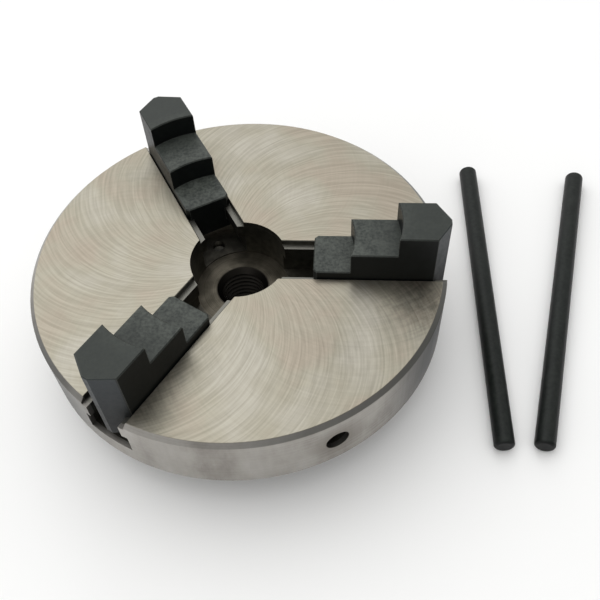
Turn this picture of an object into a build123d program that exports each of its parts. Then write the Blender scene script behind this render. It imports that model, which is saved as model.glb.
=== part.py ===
"""Three-jaw lever scroll chuck, 100 mm, with its two tommy bars.

The chuck lies on its rear face. The origin is on the spindle axis in the plane of that rear face,
+Z points out of the face that the jaws slide in, and jaw 1 is on +X. All sizes are in millimetres.
"""

import os
from math import cos, radians, sin, sqrt

from build123d import *

os.makedirs("parts", exist_ok=True)

# ---------------------------------------------------------------- driving dimensions
# Body
body_dia = 100.0
chuck_height = 27.0  # rear face to jaw face
rim_height = 16.5
web_thickness = 8.3  # front wall that carries the jaw slots
rim_wall = 9.7  # wall round the scroll
front_chamfer = 1.1
rear_chamfer = 0.4
body_lever_depth = 8.6
body_lever_drop = 8.3  # hole centre below the jaw face

# Jaw slots
jaw_count = 3
slot_half = 5.9
slot_depth = 11.0
rail_top = 1.5  # below the jaw face
rail_bottom = 5.4
rail_width = 1.5
guide_clearance = 0.15
slot_edge = 0.2

# Scroll and its lever ring
scroll_pitch = 6.0
groove_width = 3.4
groove_first_r = 21.0  # middle of the groove where it passes under jaw 1
scroll_clearance = 0.15
running_clearance = 0.05
part_gap = 0.3
ring_lap = 0.7  # how far the ring laps the body's rear face
ring_chamfer = 0.6
ring_rear_gap = 0.4  # the ring stands this far above the chuck's rear face
ring_lever_count = 4
ring_lever_start = 50.0  # degrees, so that each hole is clear of the tommy bars lying by the chuck
ring_lever_depth = 9.0

# Hub
hub_r = 20.0
hub_shoulder = 8.3  # seat for the body, round the spigot that fills its recess
plate_seat = 8.0  # seat for the retaining plate, round the boss
spigot_drop = 0.3  # spigot end below the slot floor
spigot_clearance = 0.02
thread_minor_r = 5.2
thread_groove = 0.75
thread_pitch = 1.5
thread_mouth_r = 6.45
register_r = 8.0
register_depth = 3.6
hub_edge = 0.4

# Hub screws (M4 socket cap) and dowels, on one circle
hub_fixing_edge = 4.6  # hub's edge to the middle of its screws and dowels
hub_screw_r = 2.0
hub_screw_core_r = 1.65
hub_screw_head_r = 3.5
hub_screw_head = 4.0
hub_screw_key = 3.0
hub_screw_short = 1.6  # the tip stops this far below the slot floor
screw_clearance = 0.25
dowel_r = 1.5
dowel_length = 8.0

# Thrust washer, retaining plate and its screws (M3 countersunk)
washer_width = 5.8
washer_thickness = 1.0
plate_thickness = 3.0
plate_overlap = 7.0  # how far the plate reaches past the hub
plate_screw_count = 6
plate_screw_edge = 3.8  # hub's edge to the middle of the plate's screws
plate_screw_r = 1.5
plate_screw_head_r = 2.8
plate_screw_length = 7.0
plate_screw_key = 2.0

# Jaws
jaw_inner_r = 18.3
jaw_end_r = 46.3  # where the pointed outer end starts
jaw_tip_r = 49.5
jaw_tip_flat = 1.5
jaw_inner_bevel = 0.8
jaw_lift = 0.1  # jaw underside above the slot wall's lower face
step_starts = (27.0, 37.7)
step_tops = (2.3, 8.3, 14.0)  # above the jaw face
step_arc_r = 20.0
jaw_edge = 0.25
tooth_width = 2.5
tooth_end_gap = 0.3
tooth_front_r = 44.0
tooth_back_r = 20.0

# Tommy bars and the holes that take them
bar_r = 2.5
bar_length = 92.0
bar_end = 0.8
bar_fit = 0.3
bar_places = ((63.0, 10.3, 91.0), (83.4, 9.4, 77.0))  # middle x, middle y, direction in degrees

# ---------------------------------------------------------------- sizes that follow
body_r = body_dia / 2
face_z = chuck_height
rim_z = face_z - rim_height
web_z = face_z - web_thickness
slot_z = face_z - slot_depth
pocket_r = body_r - rim_wall
scroll_r = pocket_r - part_gap
ring_r = pocket_r + ring_lap
scroll_top_z = web_z - scroll_clearance
scroll_bore_r = hub_r + running_clearance
ring_top_z = rim_z - part_gap
recess_r = hub_r - hub_shoulder
hub_boss_r = hub_r - plate_seat
hub_fixing_r = hub_r - hub_fixing_edge
plate_screw_circle_r = hub_r - plate_screw_edge
hub_top_z = slot_z - spigot_drop
plate_z = plate_thickness
plate_r = hub_r + plate_overlap
washer_z = plate_z + washer_thickness
jaw_half = slot_half - guide_clearance
jaw_bottom_z = web_z + jaw_lift
tooth_bottom_z = slot_z + tooth_end_gap
lever_hole_r = bar_r + bar_fit
jaw_angles = [360 / jaw_count * i for i in range(jaw_count)]
between_jaws = 180 / jaw_count
plate_screw_angles = [360 / plate_screw_count * (i + 0.5) for i in range(plate_screw_count)]


def radial(angle, height=0.0):
    """Plane on the axis with its x along the radius at this angle and its normal along +Z."""
    return Plane(
        origin=(0, 0, height), x_dir=(cos(radians(angle)), sin(radians(angle)), 0), z_dir=(0, 0, 1)
    )


def outward(angle, radius, height):
    """Plane across the radius at this angle, with its normal pointing away from the axis."""
    x, y = cos(radians(angle)), sin(radians(angle))
    return Plane(origin=(radius * x, radius * y, height), x_dir=(-y, x, 0), z_dir=(x, y, 0))


def sagitta(radius, half_chord):
    """Height of an arc over its chord."""
    return radius - sqrt(radius**2 - half_chord**2)


def finish(piece, name):
    """Label a finished piece and write its STEP file."""
    piece.part.label = name
    export_step(piece.part, f"parts/{name}.step")


# ---------------------------------------------------------------- chuck body
# Turned disc: a front wall with three T-slots, a rim round the scroll, and a boss over the hub.
with BuildPart() as chuck_body:
    with BuildSketch(Plane.XY.offset(rim_z)):
        Circle(body_r)
    extrude(amount=rim_height)
    chamfer(chuck_body.edges().group_by(Axis.Z)[-1], front_chamfer)
    chamfer(chuck_body.edges().group_by(Axis.Z)[0], rear_chamfer)
    with BuildSketch(Plane.XY.offset(rim_z)):
        Circle(pocket_r)
        Circle(hub_r, mode=Mode.SUBTRACT)
    extrude(amount=web_z - rim_z, mode=Mode.SUBTRACT)
    with BuildSketch(Plane.XY.offset(rim_z)):
        Circle(recess_r)
    extrude(amount=rim_height, mode=Mode.SUBTRACT)
    for angle in jaw_angles:
        with BuildSketch(radial(angle, slot_z)):
            Rectangle(body_dia, 2 * slot_half, align=(Align.MIN, Align.CENTER))
        extrude(amount=slot_depth, mode=Mode.SUBTRACT)
    face_edges = chuck_body.edges().group_by(Axis.Z)[-1]
    chamfer(face_edges.filter_by(GeomType.LINE), slot_edge)
    # The two rails of each slot, which the grooves in the jaw's sides ride on.
    for angle in jaw_angles:
        with BuildSketch(radial(angle, face_z - rail_bottom)):
            for side in (-1, 1):
                with Locations((0, side * (slot_half - rail_width / 2))):
                    Rectangle(body_dia, rail_width, align=(Align.MIN, Align.CENTER))
            Circle(recess_r, mode=Mode.SUBTRACT)
            Circle(body_r, mode=Mode.INTERSECT)
        extrude(amount=rail_bottom - rail_top)
    for angle in jaw_angles:
        with BuildSketch(radial(angle, rim_z)):
            with Locations((hub_fixing_r, 0)):
                Circle(hub_screw_core_r)
        extrude(amount=slot_z - rim_z, mode=Mode.SUBTRACT)
        with BuildSketch(radial(angle + between_jaws, rim_z)):
            with Locations((hub_fixing_r, 0)):
                Circle(dowel_r)
        extrude(amount=dowel_length / 2, mode=Mode.SUBTRACT)
        with BuildSketch(outward(angle + between_jaws, body_r, face_z - body_lever_drop)):
            Circle(lever_hole_r)
        extrude(amount=-body_lever_depth, mode=Mode.SUBTRACT)
finish(chuck_body, "chuck_body")

# ---------------------------------------------------------------- hub
# Threaded hub: the spigot fits the body's recess, and the barrel is the scroll's bearing.
with BuildPart() as hub:
    with BuildSketch(Plane.XZ):
        with BuildLine():
            Polyline(
                (0, 0),
                (hub_boss_r, 0),
                (hub_boss_r, plate_z),
                (hub_r - hub_edge, plate_z),
                (hub_r, plate_z + hub_edge),
                (hub_r, rim_z),
                (recess_r - spigot_clearance, rim_z),
                (recess_r - spigot_clearance, hub_top_z),
                (0, hub_top_z),
                close=True,
            )
        make_face()
    revolve(axis=Axis.Z)
    # Spindle thread: flat-crested rings at the real pitch and depth, between register and mouth.
    mouth_depth = thread_mouth_r - thread_minor_r
    turns = int((hub_top_z - mouth_depth - register_depth) / thread_pitch)
    bore_line = [(0, 0), (register_r, 0), (register_r, register_depth)]
    for turn in range(turns):
        low = register_depth + turn * thread_pitch
        bore_line.append((thread_minor_r, low + 0.1 * thread_pitch))
        bore_line.append((thread_minor_r, low + 0.35 * thread_pitch))
        bore_line.append((thread_minor_r + thread_groove, low + 0.65 * thread_pitch))
        bore_line.append((thread_minor_r + thread_groove, low + 0.8 * thread_pitch))
    bore_line.append((thread_minor_r, register_depth + (turns + 0.1) * thread_pitch))
    bore_line.append((thread_minor_r, hub_top_z - mouth_depth))
    bore_line.append((thread_mouth_r, hub_top_z))
    bore_line.append((0, hub_top_z))
    with BuildSketch(Plane.XZ):
        with BuildLine():
            Polyline(bore_line, close=True)
        make_face()
    revolve(axis=Axis.Z, mode=Mode.SUBTRACT)
    head_top_z = plate_z + screw_clearance + hub_screw_head
    for angle in jaw_angles:
        with BuildSketch(radial(angle, plate_z)):
            with Locations((hub_fixing_r, 0)):
                Circle(hub_screw_head_r + screw_clearance)
        extrude(amount=head_top_z - plate_z, mode=Mode.SUBTRACT)
        with BuildSketch(radial(angle, head_top_z)):
            with Locations((hub_fixing_r, 0)):
                Circle(hub_screw_r + screw_clearance)
        extrude(amount=rim_z - head_top_z, mode=Mode.SUBTRACT)
        with BuildSketch(radial(angle + between_jaws, rim_z)):
            with Locations((hub_fixing_r, 0)):
                Circle(dowel_r)
        extrude(amount=-dowel_length / 2, mode=Mode.SUBTRACT)
    for angle in plate_screw_angles:
        with BuildSketch(radial(angle, plate_z)):
            with Locations((plate_screw_circle_r, 0)):
                Circle(plate_screw_r)
        extrude(amount=plate_screw_length - plate_thickness, mode=Mode.SUBTRACT)
finish(hub, "hub")

# ---------------------------------------------------------------- scroll ring
# Disc with a flat spiral groove in its front, in one piece with the ring that the lever turns.
with BuildPart() as scroll_ring:
    with BuildSketch(Plane.XY.offset(ring_top_z)):
        Circle(scroll_r)
    extrude(amount=scroll_top_z - ring_top_z)
    with BuildSketch(Plane.XY.offset(ring_rear_gap)):
        Circle(ring_r)
    extrude(amount=ring_top_z - ring_rear_gap)
    circles = scroll_ring.edges().filter_by(GeomType.CIRCLE)
    chamfer(circles.filter_by(lambda edge: edge.radius > scroll_r), ring_chamfer)
    with BuildSketch(Plane.XY):
        Circle(scroll_bore_r)
    extrude(amount=face_z, mode=Mode.SUBTRACT)
    with BuildSketch(Plane.XY):
        Circle(plate_r + part_gap)
    extrude(amount=washer_z + running_clearance, mode=Mode.SUBTRACT)
    # The spiral is a chain of quarter arcs about four centres, and each is a quarter pitch larger.
    first_r = groove_first_r - scroll_pitch
    quarters = int(4 * (scroll_r + groove_width - first_r) / scroll_pitch) + 1
    centres = [(-1, 1), (-1, -1), (1, -1), (1, 1)]
    walls = []
    for side in (1, -1):
        for quarter in range(quarters):
            centre = [scroll_pitch / 8 * c for c in centres[quarter % 4]]
            radius = first_r + scroll_pitch / 8 + scroll_pitch / 4 * quarter + side * groove_width / 2
            walls.append((centre, radius, 90 * (quarter % 4)))
    with BuildSketch(Plane.XY.offset(slot_z)):
        with BuildLine() as groove_line:
            arcs = [CenterArc(centre, radius, start, 90) for centre, radius, start in walls]
            Line(arcs[0] @ 0, arcs[quarters] @ 0)
            Line(arcs[quarters - 1] @ 1, arcs[-1] @ 1)
        make_face()
    extrude(amount=scroll_top_z - slot_z, mode=Mode.SUBTRACT)
    for i in range(ring_lever_count):
        lever_angle = ring_lever_start + 360 / ring_lever_count * i
        with BuildSketch(outward(lever_angle, ring_r, (ring_rear_gap + ring_top_z) / 2)):
            Circle(lever_hole_r)
        extrude(amount=-ring_lever_depth, mode=Mode.SUBTRACT)
finish(scroll_ring, "scroll_ring")

# ---------------------------------------------------------------- thrust washer
with BuildPart() as thrust_washer:
    with BuildSketch(Plane.XY.offset(plate_z)):
        Circle(scroll_bore_r + washer_width)
        Circle(scroll_bore_r, mode=Mode.SUBTRACT)
    extrude(amount=washer_thickness)
finish(thrust_washer, "thrust_washer")

# ---------------------------------------------------------------- retaining plate
# Ring on the hub's rear that keeps the scroll in, with countersinks for its screws.
with BuildPart() as retaining_plate:
    with BuildSketch(Plane.XY):
        Circle(plate_r)
        Circle(hub_boss_r + running_clearance, mode=Mode.SUBTRACT)
    extrude(amount=plate_thickness)
    chamfer(retaining_plate.edges().group_by(Axis.Z)[0].sort_by(SortBy.RADIUS)[-1], hub_edge)
    with Locations(Plane.XY.rotated((180, 0, 0))):
        with PolarLocations(plate_screw_circle_r, plate_screw_count, plate_screw_angles[0]):
            CounterSinkHole(plate_screw_r + screw_clearance, plate_screw_head_r + screw_clearance)
finish(retaining_plate, "retaining_plate")

# ---------------------------------------------------------------- plate screws
# Countersunk, with a hexagon socket; the head sits just below the plate's face.
head_depth = plate_screw_head_r - plate_screw_r
for i, angle in enumerate(plate_screw_angles):
    with BuildPart() as plate_screw:
        with BuildSketch(radial(angle, screw_clearance)):
            with Locations((plate_screw_circle_r, 0)):
                Circle(plate_screw_head_r)
        extrude(amount=head_depth, taper=45)
        with BuildSketch(radial(angle, screw_clearance)):
            with Locations((plate_screw_circle_r, 0)):
                Circle(plate_screw_r)
        extrude(amount=plate_screw_length - 2 * screw_clearance)
        with BuildSketch(radial(angle, screw_clearance)):
            with Locations((plate_screw_circle_r, 0)):
                RegularPolygon(plate_screw_key / 2, 6, major_radius=False)
        extrude(amount=head_depth, mode=Mode.SUBTRACT)
    finish(plate_screw, f"plate_screw_{i + 1}")

# ---------------------------------------------------------------- hub screws and dowel pins
# The screws come up from the rear and end in the tapped holes under the slots.
for i, angle in enumerate(jaw_angles):
    with BuildPart() as hub_screw:
        with BuildSketch(radial(angle, head_top_z - hub_screw_head)):
            with Locations((hub_fixing_r, 0)):
                Circle(hub_screw_head_r)
        extrude(amount=hub_screw_head)
        with BuildSketch(radial(angle, head_top_z)):
            with Locations((hub_fixing_r, 0)):
                Circle(hub_screw_r)
        extrude(amount=rim_z - head_top_z)
        with BuildSketch(radial(angle, rim_z)):
            with Locations((hub_fixing_r, 0)):
                Circle(hub_screw_core_r)
        extrude(amount=slot_z - hub_screw_short - rim_z)
        chamfer(hub_screw.edges().group_by(Axis.Z)[-1], hub_edge)
        with BuildSketch(radial(angle, head_top_z - hub_screw_head)):
            with Locations((hub_fixing_r, 0)):
                RegularPolygon(hub_screw_key / 2, 6, major_radius=False)
        extrude(amount=hub_screw_head / 2, mode=Mode.SUBTRACT)
    finish(hub_screw, f"hub_screw_{i + 1}")
    with BuildPart() as dowel_pin:
        with BuildSketch(radial(angle + between_jaws, rim_z - dowel_length / 2)):
            with Locations((hub_fixing_r, 0)):
                Circle(dowel_r)
        extrude(amount=dowel_length)
    finish(dowel_pin, f"dowel_pin_{i + 1}")

# ---------------------------------------------------------------- jaws
# Hardened outside jaws in three steps, grooved at the sides, with scroll teeth underneath.
# The teeth of each jaw stand a third of a pitch further out than those of the one before.
for i, angle in enumerate(jaw_angles):
    place = radial(angle)
    groove_top_z = face_z - rail_top + guide_clearance
    groove_bottom_z = face_z - rail_bottom - guide_clearance
    groove_half = jaw_half - rail_width
    with BuildPart() as jaw:
        # Foot and first step.
        with BuildSketch(place.offset(jaw_bottom_z)):
            with BuildLine():
                Polyline(
                    (jaw_inner_r, -jaw_half + jaw_inner_bevel),
                    (jaw_inner_r + jaw_inner_bevel, -jaw_half),
                    (jaw_end_r, -jaw_half),
                    (jaw_tip_r, -jaw_tip_flat / 2),
                    (jaw_tip_r, jaw_tip_flat / 2),
                    (jaw_end_r, jaw_half),
                    (jaw_inner_r + jaw_inner_bevel, jaw_half),
                    (jaw_inner_r, jaw_half - jaw_inner_bevel),
                    close=True,
                )
            make_face()
        extrude(amount=face_z + step_tops[0] - jaw_bottom_z)
        chamfer(jaw.edges().group_by(Axis.Z)[-1], jaw_edge)
        # The two higher steps, with risers hollowed to the round work that they grip. Each starts
        # a chamfer's depth inside the one below.
        for start, low, high in zip(step_starts, step_tops, step_tops[1:]):
            with BuildSketch(place.offset(face_z + low - jaw_edge)):
                with BuildLine():
                    ThreePointArc(
                        (start, -jaw_half), (start + sagitta(step_arc_r, jaw_half), 0), (start, jaw_half)
                    )
                    Polyline(
                        (start, jaw_half),
                        (jaw_end_r, jaw_half),
                        (jaw_tip_r, jaw_tip_flat / 2),
                        (jaw_tip_r, -jaw_tip_flat / 2),
                        (jaw_end_r, -jaw_half),
                        (start, -jaw_half),
                    )
                make_face()
            extrude(amount=high - low + jaw_edge)
            chamfer(jaw.edges().group_by(Axis.Z)[-1], jaw_edge)
        with BuildSketch(place.offset(groove_bottom_z)):
            for side in (-1, 1):
                with Locations((0, side * (groove_half + body_r / 2))):
                    Rectangle(body_dia, body_r, align=(Align.MIN, Align.CENTER))
        extrude(amount=groove_top_z - groove_bottom_z, mode=Mode.SUBTRACT)
        # Scroll teeth, with flanks that clear the spiral from its smallest turn to its largest.
        tooth_r = groove_first_r + scroll_pitch / jaw_count * i
        front_sagitta = sagitta(tooth_front_r, jaw_half)
        back_sagitta = sagitta(tooth_back_r, jaw_half)
        while tooth_r + tooth_width / 2 < jaw_end_r:
            front = tooth_r - tooth_width / 2
            back = tooth_r + tooth_width / 2
            with BuildSketch(place.offset(tooth_bottom_z)):
                with BuildLine():
                    ThreePointArc(
                        (front - front_sagitta, -jaw_half), (front, 0), (front - front_sagitta, jaw_half)
                    )
                    Line((front - front_sagitta, jaw_half), (back - back_sagitta, jaw_half))
                    ThreePointArc(
                        (back - back_sagitta, jaw_half), (back, 0), (back - back_sagitta, -jaw_half)
                    )
                    Line((back - back_sagitta, -jaw_half), (front - front_sagitta, -jaw_half))
                make_face()
            extrude(amount=jaw_bottom_z - tooth_bottom_z)
            tooth_r += scroll_pitch
    finish(jaw, f"jaw_{i + 1}")

# ---------------------------------------------------------------- tommy bars
# Two plain round bars that lie beside the chuck: one holds the body, and the other turns the ring.
for i, (x, y, direction) in enumerate(bar_places):
    along = Vector(cos(radians(direction)), sin(radians(direction)), 0)
    with BuildPart() as tommy_bar:
        with BuildSketch(Plane(origin=Vector(x, y, bar_r) - along * (bar_length / 2), z_dir=along)):
            Circle(bar_r)
        extrude(amount=bar_length)
        fillet(tommy_bar.edges().filter_by(GeomType.CIRCLE), bar_end)
    finish(tommy_bar, f"tommy_bar_{i + 1}")
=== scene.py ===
import math

import bpy
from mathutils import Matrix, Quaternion, Vector


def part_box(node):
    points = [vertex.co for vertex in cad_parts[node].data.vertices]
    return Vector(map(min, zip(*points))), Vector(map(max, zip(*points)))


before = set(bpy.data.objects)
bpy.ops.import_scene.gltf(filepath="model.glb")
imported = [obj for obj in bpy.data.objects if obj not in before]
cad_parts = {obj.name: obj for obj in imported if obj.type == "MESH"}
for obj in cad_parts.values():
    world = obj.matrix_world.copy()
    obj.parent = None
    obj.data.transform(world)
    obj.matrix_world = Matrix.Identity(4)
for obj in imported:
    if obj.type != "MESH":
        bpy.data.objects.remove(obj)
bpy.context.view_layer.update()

# ------------------------------------------------------------------------------------- chuck body
# A turned disc of medium-carbon steel with three T-slots milled through it. Its face is finished
# with a cup wheel, which leaves arcs that sweep from the recess to the rim, and its rim is turned.
# The slots and the recess are never polished; they are painted dark, with painted shade in these hollows
# as well as cutting oil.


def linear(hex_colour):
    """An sRGB hex colour as the linear RGBA that a shader takes."""
    channels = [int(hex_colour[i : i + 2], 16) / 255 for i in (1, 3, 5)]
    return [c / 12.92 if c <= 0.04045 else ((c + 0.055) / 1.055) ** 2.4 for c in channels] + [1.0]


def add(tree, kind, inputs=None, stops=(), **settings):
    """Add a node with its settings, its inputs and the stops of its colour ramp, if it has one.

    An input is a number, a vector, a hex colour, a socket, or a node, which gives the first output
    that it has in use.
    """
    node = tree.nodes.new("ShaderNode" + kind)
    for name, value in settings.items():
        setattr(node, name, value)
    for key, value in (inputs or {}).items():
        if isinstance(value, bpy.types.Node):
            value = next(output for output in value.outputs if output.enabled)
        if isinstance(value, bpy.types.NodeSocket):
            tree.links.new(value, node.inputs[key])
        else:
            node.inputs[key].default_value = linear(value) if isinstance(value, str) else value
    while stops and len(node.color_ramp.elements) < len(stops):
        node.color_ramp.elements.new(0.5)
    for i, (position, colour) in enumerate(stops):
        node.color_ramp.elements[i].position = position
        node.color_ramp.elements[i].color = linear(colour)
    return node


def new_material(name):
    """An empty material, its node tree, and the place on the object in millimetres."""
    material = bpy.data.materials.new(name)
    material.use_nodes = True
    tree = material.node_tree
    tree.nodes.clear()
    place = add(tree, "TexCoord").outputs["Object"]
    return material, tree, add(tree, "VectorMath", {0: place, "Scale": 1000.0}, operation="SCALE")


def dress(material, *names):
    """Give CAD nodes a material in place of the plain one that they were packed with."""
    for name in names:
        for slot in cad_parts[name].material_slots:
            slot.link = "OBJECT"
            slot.material = material


def radius_of(tree, mm):
    """The distance from the spindle axis in millimetres, with the three coordinates it came from."""
    split = add(tree, "SeparateXYZ", {0: mm})
    flat = add(tree, "CombineXYZ", {"X": split.outputs["X"], "Y": split.outputs["Y"]})
    return add(tree, "VectorMath", {0: flat}, operation="LENGTH"), split.outputs


def spot(tree, mm, centre, start, end, strength=1.0):
    """The strength inside a ball about a point and zero outside it, fading between two distances."""
    away = add(tree, "VectorMath", {0: mm, 1: centre}, operation="DISTANCE")
    fade = {"Value": away, "From Min": end, "From Max": start, "To Max": strength}
    return add(tree, "MapRange", fade)


def at_angle(radius, degrees, height):
    """A point at this distance from the spindle axis, in millimetres."""
    return (radius * math.cos(math.radians(degrees)), radius * math.sin(math.radians(degrees)), height)


# The body's own sizes in millimetres, as everywhere below. The last three are depths under its face.
_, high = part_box("chuck_body")
face_z = high.z * 1000
rim_r = high.x * 1000
chamfer = 1.1
rail_top = 1.5
slot_depth = 11.0
lever_drop = 8.3

ground_steel, tree, mm = new_material("ground_steel_body")
radius, place = radius_of(tree, mm)
turn = add(tree, "Math", {0: place["Y"], 1: place["X"]}, operation="ARCTAN2")
height = place["Z"]

# Zones: the ground face, its chamfer, the turned rim, and the slots, holes and recess between them.
# Each stops within about a tenth of a millimetre of its own edge.
margin = 0.1
on_face = {"Value": height, "From Min": face_z - 1.2 * margin, "From Max": face_z - 0.3 * margin}
on_face = add(tree, "MapRange", on_face)
on_rim = {"Value": radius, "From Min": rim_r - 1.2 * margin, "From Max": rim_r - 0.4 * margin}
on_rim = add(tree, "MapRange", on_rim)
outside = add(tree, "Math", {0: radius, 1: rim_r - chamfer - margin}, operation="GREATER_THAN")

# Grinding arcs: circles through the axis as wide as the wheel, 1.2 to 1.5 millimetres apart when
# measured across them. The wheel leaves a second, fainter set as its other side comes round. The
# scratches between them are finer than the eye can part, so they are drawn coarser.
wheel_width = 58.0
arc_total = 118.0
mark_depth = 0.02
sweep = add(tree, "Math", {0: radius, 1: wheel_width}, operation="DIVIDE")
sweep = add(tree, "Math", {0: sweep}, operation="ARCSINE")


def arc_noise(sign, count, length, detail):
    """Noise drawn out along the grinding arcs of one side of the wheel, and the arcs' own angle."""
    phase = add(tree, "Math", {0: sweep, 1: sign, 2: turn}, operation="MULTIPLY_ADD")
    cosine = add(tree, "Math", {0: phase}, operation="COSINE")
    sine = add(tree, "Math", {0: phase}, operation="SINE")
    ring = add(tree, "CombineXYZ", {"X": cosine, "Y": sine})
    ring = add(tree, "VectorMath", {0: ring, "Scale": count}, operation="SCALE")
    outward = add(tree, "Math", {0: radius, 1: 1 / length}, operation="MULTIPLY")
    outward = add(tree, "CombineXYZ", {"Z": outward})
    spread = add(tree, "VectorMath", {0: ring, 1: outward}, operation="ADD")
    noise = {"Vector": spread, "Scale": 1.0, "Detail": detail, "Roughness": 0.55}
    return add(tree, "TexNoise", noise), phase


broad_arcs, arc_angle = arc_noise(1.0, 12.0, 16.0, 2.0)
fine_arcs, _ = arc_noise(1.0, 60.0, 10.0, 3.0)
return_arcs, _ = arc_noise(-1.0, 50.0, 12.0, 2.0)
wander = add(tree, "Math", {0: broad_arcs, 1: 22.0}, operation="MULTIPLY")
wave = add(tree, "Math", {0: arc_angle, 1: arc_total, 2: wander}, operation="MULTIPLY_ADD")
wave = add(tree, "Math", {0: wave}, operation="SINE")
wave = add(tree, "MapRange", {"Value": wave, "From Min": -1.0, "To Min": 0.38, "To Max": 0.62})
arcs = add(tree, "Mix", {"Factor": 0.5, "A": wave, "B": fine_arcs})
arcs = add(tree, "Mix", {"Factor": 0.1, "A": arcs, "B": return_arcs})
face_tint = add(tree, "ValToRGB", {"Fac": arcs}, stops=((0.36, "#938F84"), (0.64, "#ABA79C")))
# The face is warmer or greener in broad patches. It is darker in a few patches: a painted reflection of
# jaw 1 in front of it at 344 degrees, a broad faint painted shade at 315 degrees, and dark patches
# beside jaws 2 and 3.
patches = add(tree, "TexNoise", {"Vector": mm, "Scale": 0.06, "Detail": 3.0})
stops = ((0.36, "#F2EBE5"), (0.5, "#F2F1EB"), (0.64, "#FDFDFC"))
patches = add(tree, "ValToRGB", {"Fac": patches}, stops=stops)
face_tint = add(tree, "Mix", {0: 1.0, 6: face_tint, 7: patches}, data_type="RGBA", blend_type="MULTIPLY")
# Each dark patch has an angle, a distance from the axis, a reach in millimetres, and a strength.
speck = add(tree, "TexNoise", {"Vector": mm, "Scale": 0.55, "Detail": 5.0, "Roughness": 0.7})
hatch = add(tree, "Mix", {"Factor": 0.5, "A": return_arcs, "B": fine_arcs})
speck = add(tree, "Mix", {"Factor": 0.45, "A": speck, "B": hatch})
speck = add(tree, "MapRange", {"Value": speck, "From Min": 0.58, "From Max": 0.4, "To Min": 0.4})
shade_and_dark_patches = (
    (250, 31, 11, 0.36),
    (247, 43, 11, 0.72),
    (344, 46, 15, 0.8),
    (315, 36, 30, 0.2),
    (112, 33, 12, 0.2),
    (135, 39, 13, 0.22),
)
for angle, out, reach, strength in shade_and_dark_patches:
    dark_patch = spot(tree, mm, at_angle(out, angle, face_z), 0.0, reach, strength)
    dark_patch = add(tree, "Math", {0: dark_patch, 1: speck}, operation="MULTIPLY")
    face_tint = add(tree, "Mix", {0: dark_patch, 6: face_tint, 7: "#474640"}, data_type="RGBA")

# The rim: fine turning rings, stains a centimetre or two across, and two dark patches of painted shade,
# at 338 and 217 degrees.
rings = add(tree, "CombineXYZ", {"X": turn, "Z": height})
rings = add(tree, "VectorMath", {0: rings, 1: (0.6, 1.0, 5.0)}, operation="MULTIPLY")
rings = add(tree, "TexNoise", {"Vector": rings, "Scale": 1.0, "Detail": 3.0})
stain = add(tree, "VectorMath", {0: mm, 1: (1.0, 1.0, 0.5)}, operation="MULTIPLY")
stain = add(tree, "TexNoise", {"Vector": stain, "Scale": 0.11, "Detail": 5.0, "Roughness": 0.62})
both = add(tree, "Mix", {"Factor": 0.3, "A": stain, "B": rings})
stops = ((0.36, "#8B8680"), (0.5, "#A5A19B"), (0.64, "#B2AFAA"))
rim_tint = add(tree, "ValToRGB", {"Fac": both}, stops=stops)
# Painted shade: the rim is darkened toward jaw 1 at 338 degrees and beside jaw 3's slot at 217 degrees.
for angle, strength in ((338, 0.95), (217, 0.85)):
    rim_painted_shade = spot(tree, mm, at_angle(rim_r + 6, angle, face_z - 8), 8.0, 24.0, strength)
    rim_tint = add(tree, "Mix", {0: rim_painted_shade, 6: rim_tint, 7: "#494A4B"}, data_type="RGBA")
# Oil creeps out of the three lever holes, which stand midway between the jaws.
for angle in (60, 180, 300):
    halo = spot(tree, mm, at_angle(rim_r, angle, face_z - lever_drop), 3.2, 7.5)
    halo = add(tree, "Math", {0: halo, 1: stain}, operation="MULTIPLY")
    rim_tint = add(tree, "Mix", {0: halo, 6: rim_tint, 7: "#6E675D"}, data_type="RGBA")
# The chamfer is painted darker, and more so toward jaw 1: painted shade.
chamfer_shade = {"Value": place["X"], "From Min": -15.0, "From Max": 40.0, "To Min": 0.3, "To Max": 0.85}
chamfer_shade = add(tree, "MapRange", chamfer_shade)
chamfer_tint = add(tree, "Mix", {0: chamfer_shade, 6: rim_tint, 7: "#646460"}, data_type="RGBA")

# Slots, holes and recess: painted nearly black, which is painted shade in these hollows as well as oil,
# and a little browner on the floor of the slots. The tops of the rails, which catch more light, get less
# of this painted shade, and the jaws that slide on them burnish them too.
inner_mottle = add(tree, "TexNoise", {"Vector": mm, "Scale": 0.5, "Detail": 4.0})
oil_and_shade_tint = add(tree, "ValToRGB", {"Fac": inner_mottle}, stops=((0.35, "#474641"), (0.7, "#63625A")))
floor_oil_and_shade_tint = add(tree, "ValToRGB", {"Fac": inner_mottle}, stops=((0.35, "#45433D"), (0.7, "#5E5C54")))
on_floor = add(tree, "Math", {0: height, 1: face_z - slot_depth + margin}, operation="LESS_THAN")
from_rail = add(tree, "Math", {0: height, 1: face_z - rail_top}, operation="SUBTRACT")
from_rail = add(tree, "Math", {0: from_rail}, operation="ABSOLUTE")
on_rail = add(tree, "Math", {0: from_rail, 1: margin / 2}, operation="LESS_THAN")

colour = oil_and_shade_tint
zones = (
    (on_floor, floor_oil_and_shade_tint),
    (on_rail, "#6E6D67"),
    (outside, chamfer_tint),
    (on_rim, rim_tint),
    (on_face, face_tint),
)
for zone, tint in zones:
    colour = add(tree, "Mix", {0: zone, 6: colour, 7: tint}, data_type="RGBA")
rough = add(tree, "MapRange", {"Value": fine_arcs, "To Min": 0.36, "To Max": 0.5})
bump = add(tree, "Bump", {"Strength": 0.3, "Distance": mark_depth / 1000, "Height": arcs})
shader = {"Base Color": colour, "Metallic": 1.0, "Roughness": rough, "Normal": bump}
add(tree, "OutputMaterial", {"Surface": add(tree, "BsdfPrincipled", shader)})
dress(ground_steel, "chuck_body")
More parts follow.
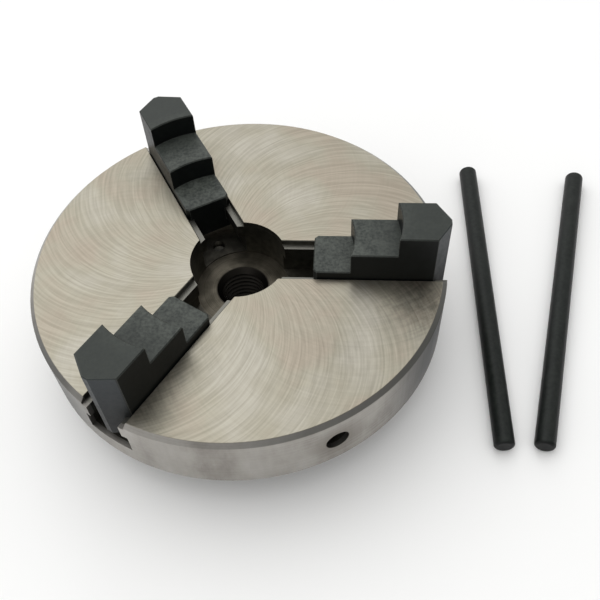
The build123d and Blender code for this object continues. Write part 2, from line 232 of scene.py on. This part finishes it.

# --------------------------------------------------------------------------------------------- hub
# Turned steel hub with the spindle thread. Its face shows through the recess, oily and brownish, with
# the marks of the facing tool round it, and the thread's bore is painted nearly black as painted shade
# in the hole.
thread_mouth_r = 6.4
mouth_edge = 0.5
hub_steel, tree, mm = new_material("turned_steel_hub")
radius, place = radius_of(tree, mm)
cloud = add(tree, "TexNoise", {"Vector": mm, "Scale": 0.3, "Detail": 4.0})
facing = add(tree, "CombineXYZ", {"X": radius})
facing = add(tree, "TexNoise", {"Vector": facing, "Scale": 3.0, "Detail": 2.0})
both = add(tree, "Mix", {"Factor": 0.4, "A": cloud, "B": facing})
tint = add(tree, "ValToRGB", {"Fac": both}, stops=((0.36, "#423F37"), (0.64, "#635E54")))
# Painted shade: the bore of the thread is darkened to nearly black.
bore = {"Value": radius, "From Min": thread_mouth_r + mouth_edge, "From Max": thread_mouth_r}
in_bore = add(tree, "MapRange", bore)
tint = add(tree, "Mix", {0: in_bore, 6: tint, 7: "#24221F"}, data_type="RGBA")
bump = add(tree, "Bump", {"Strength": 0.3, "Distance": mark_depth / 1000, "Height": facing})
shader = {"Base Color": tint, "Metallic": 1.0, "Roughness": 0.4, "Normal": bump}
add(tree, "OutputMaterial", {"Surface": add(tree, "BsdfPrincipled", shader)})
dress(hub_steel, "hub")

# ---------------------------------------------------------------------------- scroll ring and plate
# Turned steel, oiled, with fine rings from the lathe on the ring's rear and round its edge. The
# scroll and its lever ring are one piece, and the plate is screwed to the hub behind them.
turned_steel, tree, mm = new_material("turned_steel_oiled")
radius, place = radius_of(tree, mm)
cloud = add(tree, "TexNoise", {"Vector": mm, "Scale": 0.12, "Detail": 4.0})
marks = add(tree, "CombineXYZ", {"X": radius, "Z": place["Z"]})
marks = add(tree, "TexNoise", {"Vector": marks, "Scale": 3.5, "Detail": 2.0})
both = add(tree, "Mix", {"Factor": 0.45, "A": cloud, "B": marks})
tint = add(tree, "ValToRGB", {"Fac": both}, stops=((0.34, "#77736B"), (0.66, "#A8A49B")))
bump = add(tree, "Bump", {"Strength": 0.3, "Distance": mark_depth / 1000, "Height": marks})
shader = {"Base Color": tint, "Metallic": 1.0, "Roughness": 0.34, "Normal": bump}
add(tree, "OutputMaterial", {"Surface": add(tree, "BsdfPrincipled", shader)})
dress(turned_steel, "scroll_ring", "retaining_plate")

# ----------------------------------------------------------------------------------- thrust washer
# A washer stamped from bronze sheet, which keeps the scroll ring from rubbing on the plate. Oil
# has stained it brown in places.
bronze, tree, mm = new_material("bronze_stamped")
cloud = add(tree, "TexNoise", {"Vector": mm, "Scale": 0.5, "Detail": 3.0})
tint = add(tree, "ValToRGB", {"Fac": cloud}, stops=((0.3, "#8A6235"), (0.7, "#C79A5B")))
shader = {"Base Color": tint, "Metallic": 1.0, "Roughness": 0.35}
add(tree, "OutputMaterial", {"Surface": add(tree, "BsdfPrincipled", shader)})
dress(bronze, "thrust_washer")

# -------------------------------------------------------------------------------------------- jaws
# Hardened steel, blackened in hot oxide salts and oiled. The tops are painted greyer, a painted light
# from above, the sides keep the full black, and the edges are rubbed paler.
jaw_end_r = 46.8
edge_wear_and_highlight = 0.3


def black_oxide(name, mottle_mm, top_dark, top_grey, edge_grey, facet=None):
    """Blackened steel with its top painted greyer as painted light, mottled at a given size in
    millimetres.
    """
    material, tree, mm = new_material(name)
    noise = {"Vector": mm, "Scale": 1 / mottle_mm, "Detail": 5.0, "Roughness": 0.65}
    noise = add(tree, "TexNoise", noise)
    fine = add(tree, "TexNoise", {"Vector": mm, "Scale": 4 / mottle_mm, "Detail": 3.0})
    both = add(tree, "Mix", {"Factor": 0.4, "A": noise, "B": fine})
    colour = add(tree, "ValToRGB", {"Fac": both}, stops=((0.35, "#080A0A"), (0.7, "#101312")))
    grey = add(tree, "ValToRGB", {"Fac": both}, stops=((0.38, top_dark), (0.62, top_grey)))
    radius, place = radius_of(tree, mm)
    if facet:
        # The pointed outer end is painted slate grey at the top as painted light, and painted shade
        # takes it to nearly black low down. The painted light on the tops of the steps fades toward it.
        shade = {"Value": place["Z"], "From Min": face_z - 2, "From Max": face_z + 13}
        shade = add(tree, "MapRange", shade)
        slate = add(tree, "Mix", {0: shade, 6: "#101314", 7: facet}, data_type="RGBA")
        end = {"Value": radius, "From Min": jaw_end_r - margin / 2, "From Max": jaw_end_r + margin / 2}
        end = add(tree, "MapRange", end)
        colour = add(tree, "Mix", {0: end, 6: colour, 7: slate}, data_type="RGBA")
        outer = {"Value": radius, "From Min": 30.0, "From Max": 42.0, "To Max": 0.85}
        outer = add(tree, "MapRange", outer)
        grey = add(tree, "Mix", {0: outer, 6: grey, 7: top_dark}, data_type="RGBA")
    # Painted light: faces that look upward take the paler top colour.
    normal = add(tree, "NewGeometry").outputs["Normal"]
    top_light_mask = add(tree, "SeparateXYZ", {0: normal}).outputs["Z"]
    top_light_mask = add(tree, "MapRange", {"Value": top_light_mask, "From Min": 0.5, "From Max": 0.9})
    colour = add(tree, "Mix", {0: top_light_mask, 6: colour, 7: grey}, data_type="RGBA")
    soft = add(tree, "Bevel", {"Radius": edge_wear_and_highlight / 1000}, samples=4)
    bend = add(tree, "VectorMath", {0: soft, 1: normal}, operation="DOT_PRODUCT")
    edge = add(tree, "MapRange", {"Value": bend, "From Min": 0.99, "From Max": 0.85, "To Max": 0.4})
    colour = add(tree, "Mix", {0: edge, 6: colour, 7: edge_grey}, data_type="RGBA")
    rough = {"Value": both, "From Min": 0.3, "From Max": 0.7, "To Min": 0.34, "To Max": 0.5}
    rough = add(tree, "MapRange", rough)
    bump = add(tree, "Bump", {"Strength": 0.25, "Distance": mark_depth / 1000, "Height": both})
    shader = {"Base Color": colour, "Roughness": rough, "Specular IOR Level": 0.18, "Normal": bump}
    add(tree, "OutputMaterial", {"Surface": add(tree, "BsdfPrincipled", shader)})
    return material


jaw_black = black_oxide("black_oxide_jaw", 3.0, "#313532", "#50544F", "#62655F", "#2D3235")
dress(jaw_black, "jaw_1", "jaw_2", "jaw_3")

# --------------------------------------------------------------------------------- screws and pins
# Blackened countersunk screws hold the plate. The hub's own screws and dowel pins are bright steel,
# and the tips of the screws shine a little in their holes.
# Their tops are painted greyer as painted light, like the jaws'.
screw_black = black_oxide("black_oxide_screw", 1.5, "#2A2E2C", "#3C3F3D", "#6A6C68")
dress(screw_black, *[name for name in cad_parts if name.startswith("plate_screw")])
bright_steel, tree, mm = new_material("ground_steel_pin")
cloud = add(tree, "TexNoise", {"Vector": mm, "Scale": 0.8, "Detail": 3.0})
tint = add(tree, "ValToRGB", {"Fac": cloud}, stops=((0.35, "#A3A29D"), (0.65, "#CBCAC5")))
shader = {"Base Color": tint, "Metallic": 1.0, "Roughness": 0.3}
add(tree, "OutputMaterial", {"Surface": add(tree, "BsdfPrincipled", shader)})
dress(bright_steel, *[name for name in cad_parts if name.startswith(("dowel_pin", "hub_screw"))])

# ------------------------------------------------------------------------------------- tommy bars
# Two lengths of round steel, cropped, chamfered at both ends and blackened like the jaws. Their upper
# side is painted greyer, a painted highlight along them. They are levers for the scroll, so their black
# is worn a little along the edges, and the paler edges of the chamfers are also a painted highlight.
bar_black = black_oxide("black_oxide_bar", 4.0, "#141816", "#212522", "#484C48")
dress(bar_black, "tommy_bar_1", "tommy_bar_2")

# ------------------------------------------------------------------------- floor, light and camera
# A pale floor in a soft room, with a broad lamp above and behind the chuck and a weaker one in
# front, which fills the rim.
floor_size = 4.0
floor_mesh = bpy.data.meshes.new("floor")
corners = [(x * floor_size, y * floor_size, 0) for x, y in ((-1, -1), (1, -1), (1, 1), (-1, 1))]
floor_mesh.from_pydata(corners, [], [(0, 1, 2, 3)])
floor = bpy.data.objects.new("floor", floor_mesh)
bpy.context.scene.collection.objects.link(floor)
paper, tree, mm = new_material("paper_matt_white")
grain = add(tree, "TexNoise", {"Vector": mm, "Scale": 0.02, "Detail": 2.0})
tint = add(tree, "ValToRGB", {"Fac": grain}, stops=((0.0, "#F6F6F5"), (1.0, "#FAFAF9")))
shader = {"Base Color": tint, "Roughness": 0.9}
add(tree, "OutputMaterial", {"Surface": add(tree, "BsdfPrincipled", shader)})
floor_mesh.materials.append(paper)

world = bpy.data.worlds.new("soft_room")
bpy.context.scene.world = world
world.use_nodes = True
tree = world.node_tree
tree.nodes.clear()
direction = add(tree, "TexCoord").outputs["Generated"]
toward = add(tree, "VectorMath", {0: direction, 1: (-0.45, 0.45, 0.77)}, operation="DOT_PRODUCT")
sky = {"Value": toward, "From Min": -0.5, "From Max": 0.8, "To Min": 0.2}
sky = add(tree, "MapRange", sky)
# Seen directly, the room beyond the floor's edge is about as pale as the floor.
backdrop = add(tree, "LightPath").outputs["Is Camera Ray"]
sky = add(tree, "Mix", {0: backdrop, 6: sky, 7: "#F2F2F1"}, data_type="RGBA")
add(tree, "OutputWorld", {"Surface": add(tree, "Background", {"Color": sky, "Strength": 1.1})})

lamps = (
    ("softbox", (-0.26, 0.36, 0.8), 0.9, 2.1),
    ("front", (-0.25, -0.7, 0.6), 0.5, 0.58),
)
for name, place, size, watts in lamps:
    light = bpy.data.lights.new(name, "AREA")
    light.size = size
    light.energy = watts
    lamp = bpy.data.objects.new(name, light)
    lamp.location = place
    lamp.rotation_euler = (-Vector(place)).to_track_quat("-Z", "Y").to_euler()
    bpy.context.scene.collection.objects.link(lamp)

# The camera stands in front of the chuck and a little to its right, and looks steeply down.
camera_azimuth = 5.9
camera_elevation = 53.0
camera_roll = 3.6
camera_distance = 0.187
camera_lens = 46.4
aim = Vector((0.015, -0.007, 0.020))
azimuth, elevation = math.radians(camera_azimuth), math.radians(camera_elevation)
back = Vector(
    (
        math.sin(azimuth) * math.cos(elevation),
        -math.cos(azimuth) * math.cos(elevation),
        math.sin(elevation),
    )
)
camera_data = bpy.data.cameras.new("camera")
camera_data.lens = camera_lens
camera_data.sensor_width = 36.0
camera_data.clip_start = 0.01
camera = bpy.data.objects.new("camera", camera_data)
camera.location = aim + back * camera_distance
facing = (-back).to_track_quat("-Z", "Y") @ Quaternion((0, 0, 1), -math.radians(camera_roll))
camera.rotation_euler = facing.to_euler()
bpy.context.scene.collection.objects.link(camera)
bpy.context.scene.camera = camera
bpy.context.scene.view_settings.view_transform = "Standard"
